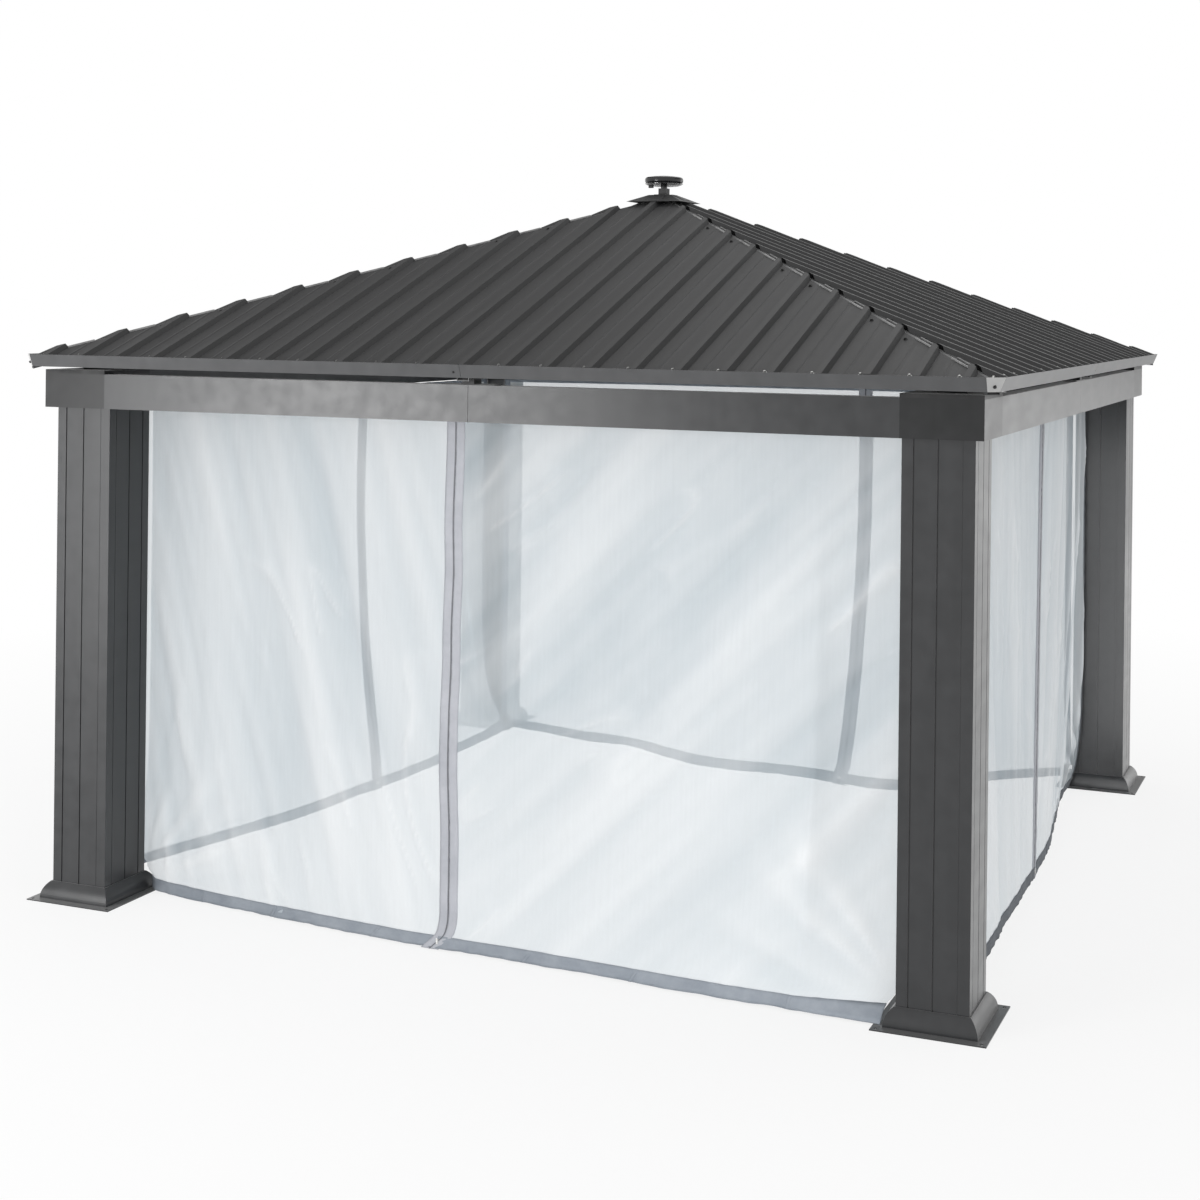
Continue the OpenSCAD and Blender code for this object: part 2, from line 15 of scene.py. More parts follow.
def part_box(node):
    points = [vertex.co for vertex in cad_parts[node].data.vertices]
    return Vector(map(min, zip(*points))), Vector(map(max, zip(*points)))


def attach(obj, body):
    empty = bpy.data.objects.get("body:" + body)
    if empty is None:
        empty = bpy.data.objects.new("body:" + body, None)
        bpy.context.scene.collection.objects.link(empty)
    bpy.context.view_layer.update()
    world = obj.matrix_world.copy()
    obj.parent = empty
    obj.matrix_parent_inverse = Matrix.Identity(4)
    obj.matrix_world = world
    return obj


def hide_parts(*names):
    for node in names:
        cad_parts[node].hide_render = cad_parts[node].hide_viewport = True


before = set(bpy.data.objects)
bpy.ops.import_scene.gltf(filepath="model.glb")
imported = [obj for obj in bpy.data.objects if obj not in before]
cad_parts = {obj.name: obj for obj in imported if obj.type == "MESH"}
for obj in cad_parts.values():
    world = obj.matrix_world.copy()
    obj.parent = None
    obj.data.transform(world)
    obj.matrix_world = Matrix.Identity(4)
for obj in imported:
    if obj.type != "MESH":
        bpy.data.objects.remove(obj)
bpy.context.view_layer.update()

# %% [markdown]
# ## The camera
# The photograph was taken from in front, a little to the right, with the camera held level, so upright lines stay
# upright and the horizon lies high in the picture. A level camera with a shifted lens does the same. The focal
# length and the place come from fitting the posts, beams and eaves to the photograph's 1200 pixel frame.

# %% Camera
PHOTO_PX = 1200
FOCAL_PX = 1890.6
AXIS_PX = (675.9, 305.6)
CAMERA_PLACE = Vector((3.2633, -8.1552, 2.440))
CAMERA_YAW = math.radians(21.41)
CAMERA_ROLL = math.radians(0.64)
SENSOR_MM = 36

lens = bpy.data.cameras.new("camera")
lens.sensor_width = SENSOR_MM
lens.lens = FOCAL_PX / PHOTO_PX * SENSOR_MM
lens.shift_x = (PHOTO_PX / 2 - AXIS_PX[0]) / PHOTO_PX
lens.shift_y = (AXIS_PX[1] - PHOTO_PX / 2) / PHOTO_PX
camera = bpy.data.objects.new("camera", lens)
level = Matrix.Rotation(CAMERA_YAW, 4, "Z") @ Matrix.Rotation(math.radians(90), 4, "X")
camera.matrix_world = Matrix.Translation(CAMERA_PLACE) @ level @ Matrix.Rotation(CAMERA_ROLL, 4, "Z")
bpy.context.scene.collection.objects.link(camera)
bpy.context.scene.camera = camera
print("lens", round(lens.lens, 2), "mm, shift", round(lens.shift_x, 4), round(lens.shift_y, 4))

# %% [markdown]
# ## Small helpers
# Every new piece is a bmesh that becomes an object at the origin, rides on the one body of the frame and takes a
# finish. The four sides are alike, so a piece is made as on the front, where x runs along the side and -y points
# out, and is then turned by quarters.

# %% Helpers for pieces
BODY = "root"
QUARTER = math.radians(90)
SIDES = ("front", "right", "back", "left")
HALVES = ("left", "right")


def object_from(name, bm, finish):
    """An object at the origin from a bmesh, which is freed, with its finish."""
    mesh = bpy.data.meshes.new(name)
    bm.to_mesh(mesh)
    bm.free()
    mesh.materials.append(finish)
    made = bpy.data.objects.new(name, mesh)
    bpy.context.scene.collection.objects.link(made)
    return made


def add_piece(name, bm, finish, wall=0.0):
    """A piece of the gazebo; a wall gives an open surface a thickness, half to each side."""
    piece = object_from(name, bm, finish)
    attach(piece, BODY)
    if wall:
        thicken = piece.modifiers.new("wall", "SOLIDIFY")
        thicken.thickness = wall
        thicken.offset = 0
    return piece


def smooth(piece):
    piece.data.shade_smooth()
    return piece


def side_turn(side):
    return Matrix.Rotation(QUARTER * side, 4, "Z")


def mix(a, b, share):
    return a + (b - a) * share


def part_way(low, high, value):
    return min(max((value - low) / (high - low), 0), 1)


def ease(low, high, value):
    share = part_way(low, high, value)
    return share * share * (3 - 2 * share)


print("helpers ready for", len(SIDES), "sides")

# %% [markdown]
# A finish is a small node tree. The class below adds nodes and wires them by plain names, so that each finish
# further down reads as a list of what it is made of.

# %% Helper for finishes
WAVE_LENGTH = math.tau / 20


class Finish:
    """A material, or the world, under construction."""

    def __init__(self, name, world=False):
        self.data = (bpy.data.worlds if world else bpy.data.materials).new(name)
        self.data.use_nodes = True
        self.nodes = self.data.node_tree.nodes
        self.links = self.data.node_tree.links
        self.nodes.clear()
        self.output = self.nodes.new("ShaderNodeOutputWorld" if world else "ShaderNodeOutputMaterial")
        self.place = self.nodes.new("ShaderNodeTexCoord")

    def add(self, kind, inputs=None, **settings):
        node = self.nodes.new("ShaderNode" + kind)
        for name, value in settings.items():
            setattr(node, name, value)
        for name, value in (inputs or {}).items():
            self.feed(node.inputs[name], value)
        return node

    def feed(self, socket, value):
        if isinstance(value, bpy.types.NodeSocket):
            self.links.new(value, socket)
        else:
            socket.default_value = value

    def mapped(self, scale=(1, 1, 1), turn=(0, 0, 0), source="Object"):
        inputs = {"Vector": self.place.outputs[source], "Scale": scale, "Rotation": turn}
        return self.add("Mapping", inputs).outputs["Vector"]

    def noise(self, vector, scale, detail=3.0, roughness=0.5):
        inputs = {"Vector": vector, "Scale": scale, "Detail": detail, "Roughness": roughness}
        return self.add("TexNoise", inputs).outputs["Fac"]

    def threads(self, pitch, direction):
        """Even threads a pitch apart, across or along the cloth's own map; at scale 1 a wave is WAVE_LENGTH long."""
        inputs = {"Vector": self.mapped(source="UV"), "Scale": WAVE_LENGTH / pitch}
        return self.add("TexWave", inputs, bands_direction=direction).outputs["Fac"]

    def span(self, value, low, high, from_low=0.3, from_high=0.7):
        inputs = {"Value": value, "From Min": from_low, "From Max": from_high, "To Min": low, "To Max": high}
        return self.add("MapRange", inputs).outputs["Result"]

    def between(self, share, first, second):
        node = self.add("Mix", data_type="RGBA")
        self.feed(node.inputs["Factor"], share)
        self.feed(node.inputs["A"], (*first, 1))
        self.feed(node.inputs["B"], (*second, 1))
        return node.outputs["Result"]

    def join(self, a, b, operation="ADD"):
        node = self.add("Math", operation=operation)
        self.feed(node.inputs[0], a)
        self.feed(node.inputs[1], b)
        return node.outputs["Value"]

    def bump(self, height, distance, strength):
        return self.add("Bump", {"Height": height, "Distance": distance, "Strength": strength}).outputs["Normal"]

    def blend(self, share, first, second):
        node = self.add("MixShader", {"Fac": share})
        self.links.new(first.outputs[0], node.inputs[1])
        self.links.new(second.outputs[0], node.inputs[2])
        return node

    def seen(self):
        """1 for rays from the camera, off metal or through glass, and 0 for the rays that light the object."""
        ray = self.add("LightPath").outputs
        mirrored = self.join(ray["Is Camera Ray"], ray["Is Glossy Ray"], "MAXIMUM")
        return self.join(mirrored, ray["Is Transmission Ray"], "MAXIMUM")

    def surface(self, shader):
        self.links.new(shader.outputs[0], self.output.inputs["Surface"])
        return self.data


print("finish helper ready")

# %% [markdown]
# ## Powder-coated charcoal
# The posts, beams and trims are steel with a satin powder coat. The sheet under the coat is never quite flat and the
# coat never quite even, so highlights look mottled. A slow noise drives the bump, and a quicker one shifts the
# roughness, which is what makes a highlight blotchy. Rain leaves faint upright streaks, a noise stretched along z. The
# fine grain of the powder scatters light that grazes it, a soft sheen.

# %% Charcoal coat
PATCH_STRETCH, PATCH_SCALE = (1, 0.3, 1), 17.0
STREAK_STRETCH, STREAK_SCALE = (9, 9, 0.5), 2.0
STREAK_ROUGH = (-0.006, 0.006)
COAT_DETAIL = 1.5
SWELL_SCALE, SWELL_DETAIL, SWELL_M, SWELL_STRENGTH = 3.2, 2.0, 0.004, 0.25
COAT_SHEEN, SHEEN_ROUGH = 0.42, 0.4


def powder_coat(name, dark, light, rough, mirror=0.5):
    coat = Finish(name)
    patches = coat.noise(coat.mapped(PATCH_STRETCH), PATCH_SCALE, COAT_DETAIL)
    streaks = coat.noise(coat.mapped(STREAK_STRETCH), STREAK_SCALE, COAT_DETAIL)
    swell = coat.noise(coat.mapped(), SWELL_SCALE, SWELL_DETAIL)
    tone = coat.join(coat.span(patches, 0.0, 0.5), coat.span(streaks, 0.0, 0.5))
    return coat.surface(coat.add("BsdfPrincipled", {
        "Base Color": coat.between(tone, dark, light),
        "Roughness": coat.join(coat.span(patches, *rough), coat.span(streaks, *STREAK_ROUGH)),
        "Normal": coat.bump(swell, SWELL_M, SWELL_STRENGTH),
        "Specular IOR Level": mirror,
        "Sheen Weight": COAT_SHEEN,
        "Sheen Roughness": SHEEN_ROUGH,
    }))


charcoal = powder_coat("charcoal_coat", (0.020, 0.021, 0.0225), (0.030, 0.031, 0.033), (0.28, 0.36))
# The trims take a lighter copy of the same charcoal coat: painted light that brightens the eave trims.
lit_trim_charcoal = powder_coat("trim_coat_painted_light", (0.060, 0.061, 0.063), (0.076, 0.077, 0.080), (0.3, 0.38))
# The corner boxes take a darker copy of the same coat, which also mirrors less: painted shade.
shaded_box_charcoal = powder_coat("box_coat_painted_shade", (0.010, 0.0105, 0.011), (0.017, 0.0175, 0.0185), (0.3, 0.38), 0.36)
clip_grey = powder_coat("pale_clip_coat", (0.46, 0.46, 0.455), (0.58, 0.58, 0.575), (0.3, 0.45))
bracket_black = powder_coat("black_bracket", (0.008, 0.008, 0.009), (0.014, 0.014, 0.015), (0.5, 0.7))
print("coats:", charcoal.name, lit_trim_charcoal.name, shaded_box_charcoal.name, clip_grey.name, bracket_black.name)

# %% [markdown]
# ## Roof sheet
# The ribbed sheets are coil-coated steel, darker than the posts. Rain and handling leave faint streaks that run
# down the slope, so the streak pattern is stretched along Y for the front and back slopes and along X for the
# other two. A slow swell in the bump is the oil-canning that thin sheet shows between its ribs.

# %% Roof coat
ROOF_DARK, ROOF_LIGHT = (0.019, 0.0192, 0.0198), (0.027, 0.0273, 0.028)
ROOF_ROUGH = (0.5, 0.58)
ROOF_SHEEN = 0.1
CANNING_STRETCH, CANNING_M, CANNING_STRENGTH = 0.6, 0.006, 0.2


def roof_coat(name, stretch):
    coat = Finish(name)
    streaks = coat.noise(coat.mapped(stretch), 6.0, 5.0, 0.6)
    dust = coat.noise(coat.mapped(), 2.4, 4.0, 0.6)
    tone = coat.join(coat.span(streaks, 0.0, 0.6), coat.span(dust, 0.0, 0.4))
    canning = coat.noise(coat.mapped(tuple(CANNING_STRETCH * s for s in stretch)), 2.0, 2.0)
    return coat.surface(coat.add("BsdfPrincipled", {
        "Base Color": coat.between(tone, ROOF_DARK, ROOF_LIGHT),
        "Roughness": coat.span(streaks, *ROOF_ROUGH),
        "Normal": coat.bump(canning, CANNING_M, CANNING_STRENGTH),
        "Sheen Weight": ROOF_SHEEN,
        "Sheen Roughness": SHEEN_ROUGH,
    }))


roof_along_y = roof_coat("roof_coat_front_back", (5.0, 0.5, 0.5))
roof_along_x = roof_coat("roof_coat_sides", (0.5, 5.0, 0.5))
print("roof coats:", roof_along_y.name, roof_along_x.name)

# %% [markdown]
# ## Small finishes
# The finial disc is moulded in gloss black, with a clear bowl under it. Screws are zinc plated or black, and where
# the roof sheet was cut and folded its edge is bare and paler. The zip teeth are dark grey.

# %% Small finishes
def plain_finish(name, dark, light, rough, scale, bump_m, **constants):
    made = Finish(name)
    grain = made.noise(made.mapped(), scale, 4.0)
    shader = made.add("BsdfPrincipled", {
        "Base Color": made.between(made.span(grain, 0.0, 1.0), dark, light),
        "Roughness": made.span(grain, *rough),
        "Normal": made.bump(grain, bump_m, 0.3),
    })
    for socket, value in constants.items():
        shader.inputs[socket.replace("_", " ")].default_value = value
    return made.surface(shader)


gloss_black = plain_finish("gloss_black", (0.008, 0.008, 0.009), (0.013, 0.013, 0.014), (0.12, 0.22), 60, 0.0004)
zinc = plain_finish("zinc_plate", (0.62, 0.62, 0.6), (0.78, 0.78, 0.77), (0.25, 0.42), 220, 0.0002, Metallic=1.0)
screw_black = plain_finish("black_screw", (0.008, 0.008, 0.008), (0.016, 0.016, 0.016), (0.45, 0.6), 200, 0.0002)
bare_edge = plain_finish("bare_sheet_edge", (0.22, 0.22, 0.22), (0.38, 0.38, 0.38), (0.35, 0.5), 30, 0.0003)
zip_grey = plain_finish("zip_teeth", (0.10, 0.105, 0.12), (0.16, 0.165, 0.18), (0.4, 0.6), 300, 0.0004)

bowl_finish = Finish("clear_bowl")
haze = bowl_finish.span(bowl_finish.noise(bowl_finish.mapped(), 40.0), 0.06, 0.14)
shine = bowl_finish.add("BsdfGlossy", {"Color": (0.9, 0.9, 0.9, 1), "Roughness": 0.08})
clear = bowl_finish.add("BsdfTransparent", {"Color": (0.7, 0.7, 0.7, 1)})
clear_bowl = bowl_finish.surface(bowl_finish.blend(haze, clear, shine))
print("small finishes:", gloss_black.name, clear_bowl.name, zinc.name, screw_black.name, bare_edge.name)

# %% [markdown]
# ## Finishes on the frame
# A node of the frame keeps its shape and only changes its material, so this is one table of names. What it leaves out
# is charcoal.

# %% Dress the frame
node_finish = {
    "roof_front": roof_along_y,
    "roof_back": roof_along_y,
    "roof_right": roof_along_x,
    "roof_left": roof_along_x,
    "crown_cap": roof_along_y,
    "finial_stem": roof_along_x,
    "finial_disc": gloss_black,
    "eave_corner_clips": clip_grey,
    "corner_brackets": bracket_black,
    "beam_splices": bracket_black,
}
node_finish.update({"eave_trim_" + side: lit_trim_charcoal for side in SIDES})
node_finish.update({name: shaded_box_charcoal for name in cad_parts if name.startswith("corner_box")})
for name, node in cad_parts.items():
    for material_slot in node.material_slots:
        material_slot.material = node_finish.get(name, charcoal)
print("dressed", len(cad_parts), "frame pieces")

# %% [markdown]
# ## Net cloth
# Mosquito net is a thin white knit that lets more than half of the light through. Part of each ray passes straight
# on, and the rest is scattered to both sides, so the shader mixes a transparent, a diffuse and a translucent part.
# Each point carries its fold as an attribute, and the threads are closer there. The colour runs with the fold from a
# dull tone to white: painted light and shade on the folds, and painted highlights on the creases. The knit itself
# follows the cloth's own map, measured in metres.

# %% Net finish
NET_FOLD_SHADE, NET_FOLD_LIT = (0.64, 0.72, 0.77), (0.94, 0.97, 0.99)
NET_COVER = (0.53, 0.66)
NET_THROUGH = 0.45
KNIT_M = 0.0022
BUNCH_STRETCH, BUNCH_COVER = (70, 3, 1), (-0.014, 0.014)
KNIT_COVER = (-0.02, 0.02)
CRUMPLE_STRETCH, CRUMPLE_TURN = (22, 9, 1), (0, 0, 0.5)
CRUMPLE_M, CRUMPLE_STRENGTH = 0.006, 0.4
FOLD_RANGE = (-1.0, 1.0)

net_finish = Finish("net_cloth")
folds = net_finish.add("Attribute", attribute_name="folds").outputs["Fac"]
bunches = net_finish.noise(net_finish.mapped(BUNCH_STRETCH, source="UV"), 1.0, 4.0, 0.6)
knit = net_finish.join(net_finish.threads(KNIT_M, "X"), net_finish.threads(KNIT_M, "Y"), "MAXIMUM")
fine = net_finish.join(net_finish.span(bunches, *BUNCH_COVER), net_finish.span(knit, *KNIT_COVER, 0.0, 1.0))
cover = net_finish.join(net_finish.span(folds, *NET_COVER, *FOLD_RANGE), fine)
crumple = net_finish.noise(net_finish.mapped(CRUMPLE_STRETCH, CRUMPLE_TURN, "UV"), 1.0, 5.0, 0.6)
wrinkles = net_finish.bump(crumple, CRUMPLE_M, CRUMPLE_STRENGTH)
# Painted light and shade: a dull tone in the hollows of the folds, white on their ridges and creases.
painted_fold_shading = net_finish.between(net_finish.span(folds, 0.0, 1.0, *FOLD_RANGE), NET_FOLD_SHADE, NET_FOLD_LIT)
near_side = net_finish.add("BsdfDiffuse", {"Color": painted_fold_shading, "Normal": wrinkles})
far_side = net_finish.add("BsdfTranslucent", {"Color": painted_fold_shading, "Normal": wrinkles})
thread = net_finish.blend(NET_THROUGH, near_side, far_side)
net_cloth = net_finish.surface(net_finish.blend(cover, net_finish.add("BsdfTransparent"), thread))
print("net cover between", NET_COVER)

# %% [markdown]
# ## Tape cloth
# Hems and edge bindings are a close grey weave, and the zip tapes are a paler one. The right net's hem takes a
# darker copy of the grey weave as painted shade. The weave follows the tape's own map, and a slow noise fades it.

# %% Tape finishes
WEAVE_M = 0.0016
WEAVE_BUMP_M, WEAVE_STRENGTH = 0.0004, 0.4
TAPE_ROUGH = (0.75, 0.9)


def tape_weave(name, dark, light):
    tape = Finish(name)
    weave = tape.join(tape.threads(WEAVE_M, "X"), tape.threads(WEAVE_M, "Y"), "MAXIMUM")
    faded = tape.noise(tape.mapped(), 9.0, 5.0, 0.65)
    return tape.surface(tape.add("BsdfPrincipled", {
        "Base Color": tape.between(tape.span(faded, 0.0, 1.0), dark, light),
        "Roughness": tape.span(faded, *TAPE_ROUGH),
        "Normal": tape.bump(weave, WEAVE_BUMP_M, WEAVE_STRENGTH),
    }))


hem_cloth = tape_weave("grey_hem", (0.22, 0.247, 0.284), (0.31, 0.337, 0.374))
# A darker copy of the hem weave for the right net: painted shade.
shaded_hem_cloth = tape_weave("hem_painted_shade", (0.11, 0.121, 0.136), (0.17, 0.182, 0.2))
# The zip tapes' paler tone is painted light: the light that shines through the single thin tape.
lit_zip_tape_cloth = tape_weave("pale_tape_painted_light", (0.375, 0.385, 0.42), (0.46, 0.47, 0.505))
print("tape finishes:", hem_cloth.name, shaded_hem_cloth.name, lit_zip_tape_cloth.name)

# %% [markdown]
# ## Where the nets hang
# Each net hangs from a rod just behind the beam, draws in to the posts at its ends and stands on the ground, where
# its foot was set down by hand a little in or out. A smooth curve through a few shares of the spread gives the foot,
# much as the frame's own plain nets have it. Cloth that is pulled aside at its foot hangs in a curve like a J: it
# swings out by a power of the drop, gently along the side and only near the ground beside a post, where it is tied.

# %% Net paths
post_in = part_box("post_front_right")[0].x
beam_in = -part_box("beam_front")[1].y
cover_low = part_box("foot_cover_front_right")[0].x
NET_CLEAR = 0.0093
NET_END_CLEAR = 0.0045
FOOT_CLEAR = 0.0105
ROD_REACH = 0.108
ROD_SETBACK = 0.9
NET_SPLAY = 0.26
NET_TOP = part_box("net_front")[1].z
NET_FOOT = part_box("net_front")[0].z
NET_DROP = NET_TOP - NET_FOOT
HEM_SHARES = (
    ((-1, 0.05), (-0.97, 0.22), (-0.66, 0.5), (-0.2, 0.79), (0.18, 0.88), (0.5, 1.02), (1, 1.15)),
    ((-1, 0.68), (-0.69, 0.61), (-0.44, 0.55), (0, 0.5), (0.28, 0.41), (0.8, 0.04), (1, 0)),
    ((-1, 0.75), (-0.78, -0.43), (-0.53, -1.9), (-0.2, -1.65), (0.15, -1.6), (0.46, -0.7), (0.66, -0.5), (1, 0.05)),
    ((-1, -0.3), (-0.6, -0.33), (-0.4, -0.44), (0, -0.25), (0.27, -0.1), (0.58, 0.27), (0.87, 0.78), (1, 0.95)),
)
TIE_SHARES = ((0, 0), (0, 0.45), (0, 0), (0.85, 0))
HANG_POWERS = (2, 12)
TIED_FROM_SHARE = 0.8
DRAW_IN_POWER = 1.3
FOOT_FROM_TO = (0.955, 0.98)
net_in = post_in - NET_CLEAR
net_end = net_in - NET_END_CLEAR
net_foot_end = cover_low - FOOT_CLEAR
rod_out = beam_in - ROD_REACH
rod_share = (post_in - ROD_SETBACK) / net_end


def curve_through(points, q):
    """A smooth curve through points, with the slope at each taken from its neighbours."""
    last = len(points) - 1
    i = max((k for k in range(last) if points[k][0] <= q), default=0)
    (x_a, y_a), (x_b, y_b) = points[i], points[i + 1]
    f = part_way(x_a, x_b, q)

    def slope(k):
        before, after = points[max(k - 1, 0)], points[min(k + 1, last)]
        return (after[1] - before[1]) / (after[0] - before[0]) * (x_b - x_a)

    return (
        y_a * (1 + 2 * f) * (1 - f) ** 2 + slope(i) * f * (1 - f) ** 2
        + y_b * f * f * (3 - 2 * f) - slope(i + 1) * f * f * (1 - f)
    )


def net_point(side, q, drop):
    """Point of a net at a share q along its side and a share of the drop, before folds, in the side's own axes."""
    tied_out = mix(net_in, rod_out, TIE_SHARES[side][q > 0])
    top_out = mix(rod_out, tied_out, part_way(rod_share, 1, abs(q)) ** DRAW_IN_POWER)
    foot_out = net_in + NET_SPLAY * curve_through(HEM_SHARES[side], q)
    swing = drop ** mix(*HANG_POWERS, part_way(TIED_FROM_SHARE, 1, abs(q)))
    x = q * mix(net_end, net_foot_end, ease(*FOOT_FROM_TO, drop))
    return Vector((x, -mix(top_out, foot_out, swing), mix(NET_TOP, NET_FOOT, drop)))


print("net drop", round(NET_DROP, 3), "m; rods", round(rod_out, 3), "m out")

# %% [markdown]
# A zip parts each net into two halves. It hangs a little askew and never quite straight: a few shares place it from
# the rod to the ground, and a slow noise makes it wander.

# %% Zips and ends
ZIP_SHARES = (
    ((0, -0.084), (0.65, -0.083), (0.9, -0.066), (0.965, -0.07), (1, -0.113)),
    ((0, 0.02), (0.9, -0.025), (1, -0.03)),
    ((0, -0.30), (0.9, -0.335), (1, -0.34)),
    ((0, -0.178), (0.9, -0.088), (1, -0.075)),
)
WANDER_SHARE = 0.004
WANDERS = 7
TUCK_SHARES = (0.022, 0, 0, 0)
TUCK_FROM_TO = (0.93, 0.955)


def zip_place(side, drop):
    wander = WANDER_SHARE * noise.noise(Vector((WANDERS * drop, 2.7 * side, 0.4)))
    return curve_through(ZIP_SHARES[side], drop) + wander


def half_edges(side, half, drop):
    """Shares along the side where a half net starts and ends; one end tucks behind its post above the foot."""
    if half == 0:
        return -1 - TUCK_SHARES[side] * (1 - ease(*TUCK_FROM_TO, drop)), zip_place(side, drop)
    return zip_place(side, drop), 1


print("zips at", [round(zip_place(side, 0.5) * net_end, 3) for side in range(4)])

# %% [markdown]
# ## Folds
# Hanging cloth folds along its pull. Where a corner is pulled sideways the folds run slantwise, so each half net has
# its own slant. A noise that is short across the slant and long along it gives soft irregular folds, a finer one the
# thin creases left by packing, and a noise by angle the rays that run up from a foot tied beside its post.

# %% Folds
FOLD_SLANTS = (
    (math.radians(14), math.radians(-36)),
    (math.radians(4), math.radians(-8)),
    (math.radians(18), math.radians(-22)),
    (math.radians(-12), math.radians(10)),
)
FOLD_M = 0.014
BROAD_M, MIDDLE_M, CREASE_M, CREASED_M = (0.17, 1.5), (0.06, 0.7), (0.11, 0.5), (0.35, 0.35)
MIDDLE_SLANT, CREASE_SLANT = 1.25, 1.5
CREASE_POWER = 9
CREASED_FROM_TO = (0.05, 0.35)
RAYS, RAY_ALONG, RAY_ROOT_M = 7, 0.6, 0.08
RAY_IN_M, RAY_OUT_M = (0.08, 0.3), (0.3, 0.9)
BROAD_SHARE, MIDDLE_SHARE, CREASE_SHARE, RAY_SHARE = 1.2, 0.5, 0.7, 1.3


def slanted_noise(x, z, slant, across, along, seed):
    a = (x * math.cos(slant) + z * math.sin(slant)) / across
    b = (z * math.cos(slant) - x * math.sin(slant)) / along
    return noise.noise(Vector((a, b, seed)))


def fold_height(side, half, x, z):
    """Height of the folds at a place, about -1 to 1; each kind of fold has its sizes across and along the slant."""
    slant = FOLD_SLANTS[side][half]
    seed = 7.3 * side + 3.1 * half + 0.5
    broad = slanted_noise(x, z, slant, *BROAD_M, seed)
    middle = slanted_noise(x, z, MIDDLE_SLANT * slant, *MIDDLE_M, seed + 5)
    line = (1 - abs(slanted_noise(x, z, CREASE_SLANT * slant, *CREASE_M, seed + 11))) ** CREASE_POWER
    crease = line * ease(*CREASED_FROM_TO, slanted_noise(x, z, slant, *CREASED_M, seed + 14))
    from_post = abs(x - (-1, 1)[half] * net_foot_end)
    reach = math.hypot(from_post, z)
    ray = noise.noise(Vector((RAYS * math.atan2(z, from_post + RAY_ROOT_M), RAY_ALONG * reach, seed + 17)))
    near = ease(*RAY_IN_M, reach) * (1 - ease(*RAY_OUT_M, reach))
    return BROAD_SHARE * broad + MIDDLE_SHARE * middle + CREASE_SHARE * crease + RAY_SHARE * ray * near


print("folds up to about", FOLD_M, "m deep")

# %% [markdown]
# ## The net halves
# A half starts as a flat grid, one bmesh operator, and its points are then moved to the hanging shape, with the grid's
# own place kept as the cloth's map. The folds come from the formula above; no simulation was tried, because cloth this
# fine was expected to take too long. They die out at the rod and at the tapes.

# %% Hang the nets
CLOTH_STEP_M = 0.014
EDGE_FADE_M = 0.12
TOP_FADE_SHARE = 0.12
FOOT_CALM, CALM_FROM_SHARE = 0.75, 0.9
SEAM_M = 0.015
TAPED_ENDS = ((1, 1), (2, 0), (2, 1), (3, 0))


def edge_seams(side, half):
    """How far the cloth stays inside its two upright edges: its zip tape, and a tape beside the post if it has one."""
    post_seam = SEAM_M if (side, half) in TAPED_ENDS else 0
    return (post_seam, SEAM_M)[half], (SEAM_M, post_seam)[half]


def cloth_point(side, half, q, drop):
    """Point of a half net with its folds, and the fold there."""
    point = net_point(side, q, drop)
    first, last = half_edges(side, half, drop)
    fold = fold_height(side, half, point.x, point.z)
    held = ease(0, EDGE_FADE_M, min(q - first, last - q) * net_end)
    calm = 1 - FOOT_CALM * ease(CALM_FROM_SHARE, 1, drop)
    point.y -= FOLD_M * fold * held * ease(0, TOP_FADE_SHARE, drop) * calm
    return point, fold


def cut_size(side, half):
    """Width and length of the flat cloth: the mean of its widths at the rod and at the ground, and the drop."""
    ends = half_edges(side, half, 0) + half_edges(side, half, 1)
    return (ends[1] - ends[0] + ends[3] - ends[2]) / 2 * net_end, NET_DROP


def half_net(side, half):
    width = (half_edges(side, half, 0)[1] - half_edges(side, half, 0)[0]) * net_end
    across, down = round(width / CLOTH_STEP_M), round(NET_DROP / CLOTH_STEP_M)
    bm = bmesh.new()
    bmesh.ops.create_grid(bm, x_segments=across, y_segments=down, size=0.5)
    cloth_map = bm.loops.layers.uv.new("cloth")
    # The folds attribute also drives the painted light and shade in the net's colour.
    fold_layer = bm.verts.layers.float.new("folds")
    for face in bm.faces:
        for loop in face.loops:
            loop[cloth_map].uv = ((loop.vert.co.x + 0.5) * width, (loop.vert.co.y + 0.5) * NET_DROP)
    turn = side_turn(side)
    inset = edge_seams(side, half)
    for vert in bm.verts:
        drop = mix(SEAM_M / NET_DROP, 1 - SEAM_M / NET_DROP, 0.5 - vert.co.y)
        first, last = half_edges(side, half, drop)
        q = mix(first + inset[0] / net_end, last - inset[1] / net_end, vert.co.x + 0.5)
        point, vert[fold_layer] = cloth_point(side, half, q, drop)
        vert.co = turn @ point
    area = sum(face.calc_area() for face in bm.faces)
    name = f"net_{SIDES[side]}_{HALVES[half]}"
    piece = smooth(add_piece(name, bm, net_cloth))
    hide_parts("net_" + SIDES[side])
    print(name, across * down, "faces,", round(area, 3), "square metres hung")
    return piece


net_halves = {(side, half): half_net(side, half) for side in range(4) for half in range(2)}

# %% [markdown]
# ## Tapes
# A grey tape is folded over the foot of each half, over its top and over some edges beside a post, and a paler one
# over its zip edge. Each is a narrow grid laid on the cloth, whose edge ends inside it, and gets a wall that wraps
# the net from both sides. The sewing puckers a tape in short wrinkles across it, and the hem's lower edge is wavy.

